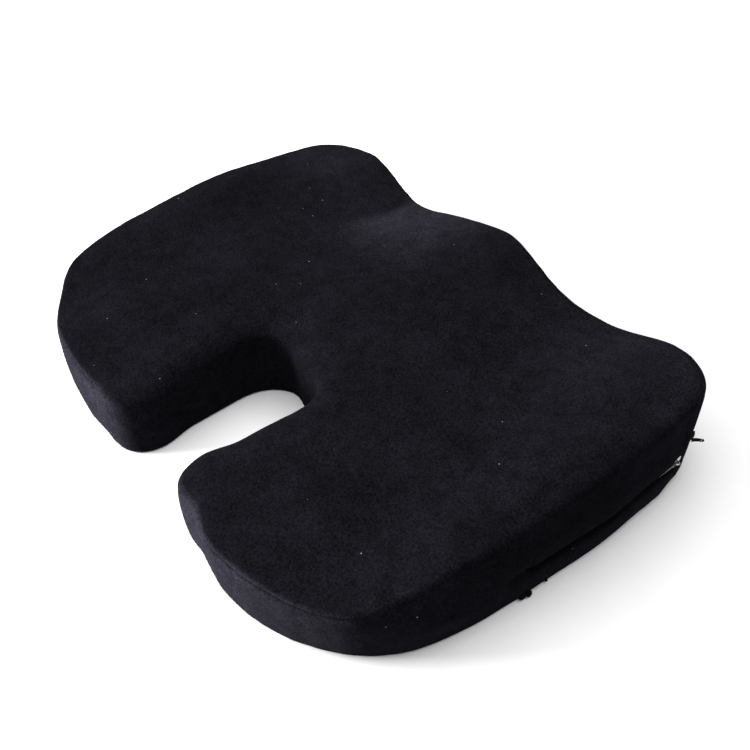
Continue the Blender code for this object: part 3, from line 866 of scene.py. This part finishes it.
def front_fold(surface, material, thread):
    """The folded front end of the zip, the tail of its tape, and the thread round it."""
    low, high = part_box("zip_end_front")
    fold = (low + high) / 2
    centre = Vector((WALL_X + CORNER_RADIUS, ZIP_FRONT_Y, fold.z))
    away = (fold - centre).normalized()
    point = surface.ray_cast(Vector((*(fold + away * FOLD_RAY_START).xy, FOLD_Z)), -away)[0]
    mesh = bmesh.new()
    add_lump(mesh, point + away * FOLD_OUT, away, FOLD_SIZE)
    dress(link("zip_end_front_soft", mesh, material), "cushion", ["zip_end_front"])
    start = Vector((*(point + away * TAIL_OUT).xy, TAIL_Z))
    ahead = Vector((-cos(TAIL_TURN), -sin(TAIL_TURN), 0))
    add_ribbon("zip_tape_tail_soft", material, start, ahead, (0.0, 1.0), 1.0, ["zip_tape_tail"])
    add_ribbon("tail_thread", thread, start, ahead, TAIL_THREAD, THREAD_SWELL, [])


def add_ribbon(name, material, start, ahead, stretch, swell, nodes):
    """A stretch of the tail: a ribbon that narrows and sags."""
    mesh = bmesh.new()
    side = UP.cross(ahead)
    rings = []
    steps = corners = 12
    closing_start, closing_length = TAIL_CLOSING
    for step in range(steps + 1):
        part = blend(*stretch, step / steps)
        sway = side * TAIL_SWAY * sin(part * TAIL_SWAY_TURN)
        centre = start + ahead * TAIL_LENGTH * part + sway - UP * TAIL_SAG * part**2
        closing = sqrt(max(0.04, 1 - max(0.0, (part - closing_start) / closing_length) ** 2))
        tall = blend(TAIL_HALF_HEIGHT, TIP_HALF_HEIGHT, part) * swell * closing
        ring = []
        for corner in range(corners):
            angle = tau * corner / corners
            thick = side * cos(angle) * TAIL_HALF_DEPTH * swell
            ring.append(mesh.verts.new(centre + thick + UP * sin(angle) * tall))
        rings.append(ring)
    skin(mesh, rings)
    dress(link(name, mesh, material), "cushion", nodes)


def join(mesh, rings):
    """Faces between neighbouring rings."""
    for lower, upper in zip(rings, rings[1:]):
        for i in range(len(lower)):
            mesh.faces.new((lower[i - 1], lower[i], upper[i], upper[i - 1]))


def skin(mesh, rings):
    """Faces between neighbouring rings, and one over each end."""
    join(mesh, rings)
    mesh.faces.new(rings[0])
    mesh.faces.new(rings[-1])
    bmesh.ops.recalc_face_normals(mesh, faces=mesh.faces)


def add_plate(mesh, y, depth, half_thickness, reach, half_heights):
    """A plate of the slider, flat with soft rims and rounded ends."""
    rings = []
    steps, corners = 18, 20
    for step in range(steps + 1):
        part = (1 - cos(pi * step / steps)) / 2
        place = y + blend(-reach[0], reach[1], part)
        to_end = min(part, 1 - part) * sum(reach)
        closing = sqrt(1 - max(0.0, 1 - to_end / PLATE_RIM) ** 2)
        tall = blend(*half_heights, part) * blend(PLATE_END_HEIGHT, 1, closing)
        thick = half_thickness * blend(PLATE_END_DEPTH, 1, closing)
        ring = []
        for corner in range(corners):
            angle = tau * (corner + 0.5) / corners
            turned = (cos(angle), sin(angle))
            outwards, upwards = (copysign(abs(part) ** PLATE_SQUARENESS, part) for part in turned)
            spot = (WALL_X + depth - thick * outwards, place, ZIP_Z + tall * upwards)
            ring.append(mesh.verts.new(spot))
        rings.append(ring)
    skin(mesh, rings)


def slider_piece(finish):
    """The slider: two plates, the post between them, and the tab's eye."""
    low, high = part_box("zip_slider")
    tab_low, tab_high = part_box("pull_tab")
    eye = Vector(((tab_low.x + tab_high.x) / 2, (low.y + high.y) / 2, ZIP_Z))
    mesh = bmesh.new()
    for plate in (FRONT_PLATE, REAR_PLATE, POST):
        add_plate(mesh, eye.y, *plate)
    rings = []
    steps, corners = 16, 10
    for step in range(steps + 1):
        turn = radians(90 + 180 * step / steps)
        outwards = Vector((cos(turn), sin(turn), 0))
        ring = []
        for corner in range(corners):
            angle = tau * corner / corners
            offset = outwards * cos(angle) + UP * sin(angle)
            ring.append(mesh.verts.new(eye + outwards * EYE_RADIUS + offset * EYE_WIRE_RADIUS))
        rings.append(ring)
    foot = Vector((EYE_RADIUS, 0, 0))
    rings.insert(0, [mesh.verts.new(vert.co + foot) for vert in rings[0]])
    rings.append([mesh.verts.new(vert.co + foot) for vert in rings[-1]])
    skin(mesh, rings)
    dress(link("slider_body", mesh, finish), "slider", ["zip_slider"])


# ---- materials ----

VELOUR_COLOUR = (0.0047, 0.0045, 0.0061)
LINT_COLOUR = (0.22, 0.21, 0.19)


def set_inputs(node, **values):
    """Sets a node's inputs; underscores stand for spaces."""
    for name, value in values.items():
        node.inputs[name.replace("_", " ")].default_value = value


class Shader:
    """A material with its nodes, links and Principled shader."""

    def __init__(self, name):
        self.material = bpy.data.materials.new(name)
        self.material.use_nodes = True
        self.nodes = self.material.node_tree.nodes
        self.links = self.material.node_tree.links
        self.surface = self.nodes["Principled BSDF"]
        self.coords = self.nodes.new("ShaderNodeTexCoord")

    def placed(self, kind):
        """A node that reads the object coordinates."""
        node = self.nodes.new("ShaderNode" + kind)
        self.links.new(self.coords.outputs["Object"], node.inputs["Vector"])
        return node

    def noise(self, scale, detail=2.0, distortion=0.0):
        """A noise texture's value in object space."""
        texture = self.placed("TexNoise")
        set_inputs(texture, Scale=scale, Detail=detail, Distortion=distortion)
        return texture.outputs["Fac"]

    def spread(self, value, low, high, start=0.3, end=0.7):
        """A value from start to end mapped to low to high."""
        node = self.nodes.new("ShaderNodeMapRange")
        set_inputs(node, From_Min=start, From_Max=end, To_Min=low, To_Max=high)
        self.links.new(value, node.inputs["Value"])
        return node.outputs["Result"]

    def math(self, operation, first, second):
        """A Math node; second is a socket or a number."""
        node = self.nodes.new("ShaderNodeMath")
        node.operation = operation
        self.links.new(first, node.inputs[0])
        if isinstance(second, float):
            node.inputs[1].default_value = second
        else:
            self.links.new(second, node.inputs[1])
        return node.outputs["Value"]

    def product(self, first, *others):
        """Sockets multiplied together."""
        for other in others:
            first = self.math("MULTIPLY", first, other)
        return first

    def coordinate(self, axis):
        """One of the object coordinates."""
        return self.placed("SeparateXYZ").outputs[axis]

    def tint(self, colour, amount):
        """A colour scaled by an amount."""
        node = self.nodes.new("ShaderNodeVectorMath")
        node.operation = "SCALE"
        node.inputs[0].default_value = colour
        self.links.new(amount, node.inputs["Scale"])
        return node.outputs["Vector"]

    def mix(self, factor, first, second):
        """The first colour where factor is 0 and the second where it is 1."""
        node = self.nodes.new("ShaderNodeMix")
        node.data_type = "RGBA"
        self.links.new(factor, node.inputs["Factor"])
        self.links.new(first, node.inputs["A"])
        node.inputs["B"].default_value = (*second, 1.0)
        return node.outputs["Result"]

    def colour(self, value):
        """Takes the base colour from a socket."""
        self.links.new(value, self.surface.inputs["Base Color"])

    def bump(self, height, distance, strength):
        """Relief of the height given, added to any set before."""
        node = self.nodes.new("ShaderNodeBump")
        set_inputs(node, Strength=strength, Distance=distance)
        self.links.new(height, node.inputs["Height"])
        normal = self.surface.inputs["Normal"]
        if normal.links:
            self.links.new(normal.links[0].from_socket, node.inputs["Normal"])
        self.links.new(node.outputs["Normal"], normal)


def velour_material():
    """Short black pile: cloudy, grainy close up, with lint; painted highlight on the rear walls and the
    pommel's slope, painted shade on the wall above the slot, and paler towards the front at the sides.
    """
    shader = Shader("velour_pile")
    set_inputs(shader.surface, Roughness=0.9, Specular_IOR_Level=0.0)
    set_inputs(shader.surface, Sheen_Weight=0.012, Sheen_Roughness=0.4, Sheen_Tint=(0.75, 0.8, 1.0, 1.0))
    clouds = shader.spread(shader.noise(14.0, 3.0), 0.82, 1.20)
    crushed = shader.noise(90.0, 3.0, 0.6)
    crush = shader.spread(crushed, 0.80, 1.24)
    pile = shader.noise(620.0, 2.0)
    grain = shader.spread(pile, 0.55, 1.52)
    # The amount carries painted light: painted highlight on the rear walls and the pommel's slope,
    # painted shade on the wall above the slot.
    amount = shader.product(clouds, crush, grain, painted_rear_wall_highlight(shader), painted_slot_wall_shade(shader), painted_pommel_highlight_and_paler_knees(shader))
    cloth = shader.tint(VELOUR_COLOUR, amount)
    shader.colour(shader.mix(lint(shader), cloth, LINT_COLOUR))
    shader.bump(pile, 0.0006, 0.6)
    shader.bump(crushed, 0.0010, 0.25)
    return shader.material


def facing(shader, direction, start, end):
    """0 to 1 as the surface's facing along a direction goes from start to end."""
    product = shader.nodes.new("ShaderNodeVectorMath")
    product.operation = "DOT_PRODUCT"
    product.inputs[1].default_value = direction
    shader.links.new(shader.coords.outputs["Normal"], product.inputs[0])
    return shader.spread(product.outputs["Value"], 0.0, 1.0, start, end)


def along(shader, axis, start, end):
    """0 to 1 as an object coordinate goes from start to end."""
    return shader.spread(shader.coordinate(axis), 0.0, 1.0, start, end)


def across(shader, start, end):
    """0 to 1 as the distance from the middle goes from start to end."""
    return shader.spread(shader.math("ABSOLUTE", shader.coordinate("X"), 0.0), 0.0, 1.0, start, end)


def painted_rear_wall_highlight(shader):
    """Painted highlight: how much paler the rear walls are painted, standing in for the sheen and light
    from the key that fall on them.
    """
    wall = facing(shader, (0.20, 0.98, 0.0), 0.45, 0.95)
    zone = shader.product(wall, along(shader, "Y", 0.080, 0.130))
    return shader.spread(zone, 1.0, 3.5, 0.0, 1.0)


def painted_slot_wall_shade(shader):
    """Painted shade: how much darker the wall above the slot is painted, standing in for the shade on
    the zip's side, away from the key light.
    """
    wall = facing(shader, (-1.0, 0.0, 0.0), 0.30, 0.90)
    side = along(shader, "X", -0.205, -0.225)
    upper = along(shader, "Z", 0.020, 0.028)
    return shader.spread(shader.product(wall, side, upper), 1.0, 0.70, 0.0, 1.0)


def painted_pommel_highlight_and_paler_knees(shader):
    """Painted highlight on the pommel's slope to the far side, standing in for its sheen; also paler
    towards the front at the sides, over the knees.
    """
    slope = facing(shader, (1.0, 0.0, 0.0), -0.02, 0.14)
    upward = facing(shader, (0.0, 0.0, 1.0), 0.35, 0.75)
    front = along(shader, "Y", -0.045, -0.110)
    beside_pommel = shader.product(along(shader, "X", 0.0, 0.030), along(shader, "X", 0.155, 0.115))
    zone = shader.product(slope, upward, front, beside_pommel)
    knees = shader.product(front, across(shader, 0.060, 0.150))
    knees = shader.spread(knees, 1.0, 1.42, 0.0, 1.0)
    return shader.product(knees, shader.spread(zone, 1.0, 2.45, 0.0, 1.0))


def lint(shader):
    """1 on a few specks of lint, 0 elsewhere."""
    cells = shader.placed("TexVoronoi")
    set_inputs(cells, Scale=150.0)
    separate = shader.nodes.new("ShaderNodeSeparateColor")
    shader.links.new(cells.outputs["Color"], separate.inputs["Color"])
    size = shader.spread(separate.outputs["Green"], 0.025, 0.065, 0.0, 1.0)
    small = shader.math("LESS_THAN", cells.outputs["Distance"], size)
    rare = shader.math("GREATER_THAN", separate.outputs["Red"], 0.92)
    return shader.product(small, rare)


def grained_material(name, colour, roughness, scale, depth, metallic=0.0, contrast=0.2, specular=0.5):
    """A finish with fine grain in its colour, roughness and surface."""
    shader = Shader(name)
    set_inputs(shader.surface, Metallic=metallic, Specular_IOR_Level=specular)
    grain = shader.noise(scale, 3.0)
    shader.colour(shader.tint(colour, shader.spread(grain, 1 - contrast, 1 + contrast)))
    rough = shader.spread(grain, roughness * 0.85, min(1.0, roughness * 1.15))
    shader.links.new(rough, shader.surface.inputs["Roughness"])
    shader.bump(grain, depth, 0.6)
    return shader.material


def woven_material(name, colour, pitch, specular):
    """Cloth of threads that cross, with the weave's pitch given."""
    shader = Shader(name)
    set_inputs(shader.surface, Roughness=0.9, Specular_IOR_Level=specular)
    turns = tau / pitch
    waves = []
    for axis in ("X", "Y", "Z"):
        node = shader.nodes.new("ShaderNodeMath")
        node.operation = "SINE"
        shader.links.new(shader.math("MULTIPLY", shader.coordinate(axis), turns), node.inputs[0])
        waves.append(node.outputs["Value"])
    weave = shader.math("ADD", shader.math("ADD", waves[0], waves[1]), waves[2])
    threads = shader.spread(weave, 0.7, 1.3, -2.0, 2.0)
    mottle = shader.spread(shader.noise(60.0, 3.0), 0.85, 1.2)
    shader.colour(shader.tint(colour, shader.product(threads, mottle)))
    shader.bump(weave, pitch * 0.15, 0.5)
    return shader.material


# ---- camera, floor and light ----

CAMERA_AZIMUTH = 232.82
CAMERA_ELEVATION = 42.93
CAMERA_DISTANCE = 0.7154
CAMERA_ROLL = -1.061
CAMERA_SENSOR = 36.0
CAMERA_LENS = 1.2161 * CAMERA_SENSOR
CAMERA_CLIP_START = 0.01
CAMERA_TARGET = Vector((-0.0255, -0.0065, 0.030))
LIGHT_TARGET = Vector((0, 0, 0.04))


def add_camera():
    """The camera, above the zip's rear corner."""
    azimuth, elevation = radians(CAMERA_AZIMUTH), radians(CAMERA_ELEVATION)
    level = cos(elevation)
    back = Vector((sin(azimuth) * level, -cos(azimuth) * level, sin(elevation)))
    right = UP.cross(back).normalized()
    right.rotate(Matrix.Rotation(radians(CAMERA_ROLL), 3, back))
    camera = new_object("camera", bpy.data.cameras.new("camera"))
    place = Matrix((right, back.cross(right), back)).transposed().to_4x4()
    place.translation = CAMERA_TARGET + back * CAMERA_DISTANCE
    camera.matrix_world = place
    camera.data.lens = CAMERA_LENS
    camera.data.sensor_width = CAMERA_SENSOR
    camera.data.clip_start = CAMERA_CLIP_START
    scene.camera = camera


def add_light(name, place, size, power):
    """A soft square light aimed at the cushion."""
    light = bpy.data.lights.new(name, "AREA")
    light.size = size
    light.energy = power
    lamp = new_object(name, light)
    lamp.location = place
    lamp.rotation_euler = (LIGHT_TARGET - Vector(place)).to_track_quat("-Z", "Y").to_euler()


def add_stage():
    """A pale floor, and soft light that is stronger from the back."""
    mesh = bmesh.new()
    bmesh.ops.create_grid(mesh, x_segments=1, y_segments=1, size=6.0)
    finish = grained_material("floor_paint", (0.92, 0.92, 0.92), 0.9, 40.0, 0.0001, contrast=0.01)
    link("floor", mesh, finish)
    world = bpy.data.worlds.new("studio")
    world.use_nodes = True
    set_inputs(world.node_tree.nodes["Background"], Color=(1.0, 1.0, 1.0, 1.0), Strength=0.2)
    scene.world = world
    add_light("key", (2.50, 2.86, 1.20), 1.8, 420.0)
    add_light("overhead", (0.0, 0.0, 2.2), 3.0, 75.0)
    scene.view_settings.view_transform = "Standard"


def make_cover(velour, base_cloth, liner, foam, thread):
    """The cover, its stitches and the layers inside; returns the cover's surface."""
    outline = Outline()
    cover = Cover(outline)
    apply_moves(cover.mesh, *puffed(cover.mesh))
    ripple(cover)
    surface = BVHTree.FromBMesh(cover.mesh)
    cover.finish()
    for name, panel, node in VELOUR_PANELS:
        cover_panel(cover, name, panel, node, velour)
    cover_panel(cover, "cover_base", BASE, "base_panel", base_cloth)
    cover.mesh.free()
    layer_block(outline, "inner_liner", LINER_DEPTH, liner)
    layer_block(outline, "foam_core", FOAM_DEPTH, foam)
    stitch_rows(surface, thread)
    return surface


def main():
    """Dresses the frame."""
    velour = velour_material()
    base_cloth = woven_material("base_weave", (0.0040, 0.0040, 0.0048), 0.0016, 0.05)
    tape = woven_material("tape_weave", (0.0035, 0.0035, 0.0040), 0.0010, 0.10)
    liner = woven_material("liner_knit", (0.60, 0.60, 0.58), 0.0012, 0.3)
    foam = grained_material("foam_pores", (0.78, 0.70, 0.50), 0.95, 900.0, 0.0004, contrast=0.35)
    thread = grained_material("thread", (0.0050, 0.0050, 0.0060), 0.8, 2500.0, 0.0001, specular=0.02)
    finishes = {
        "zip_tape": tape,
        "zip_teeth": grained_material("nylon", (0.010, 0.010, 0.011), 0.35, 1500.0, 0.00003),
        "pull_tab": grained_material(
            "worn_nickel", (0.085, 0.084, 0.082), 0.42, 800.0, 0.00002, 1.0, 0.15
        ),
    }
    nickel = grained_material("nickel_plate", (0.50, 0.49, 0.46), 0.30, 800.0, 0.00002, 1.0, 0.06)
    surface = make_cover(velour, base_cloth, liner, foam, thread)
    rear_fold(surface, velour)
    front_fold(surface, tape, grained_material("pale_thread", (0.22, 0.22, 0.21), 0.8, 2500.0, 0.0001))
    slider_piece(nickel)
    for part in frame["record"]["subparts"]:
        finish = finishes.get(part["node"], finishes.get(part["material_slot"]))
        if finish:
            node = frame["nodes"][part["node"]]
            node.data.materials.clear()
            node.data.materials.append(finish)
            bevel = node.modifiers.new("Rounding", "BEVEL")
            bevel.width = 0.0002
            bevel.segments = 2
    add_camera()
    add_stage()


main()
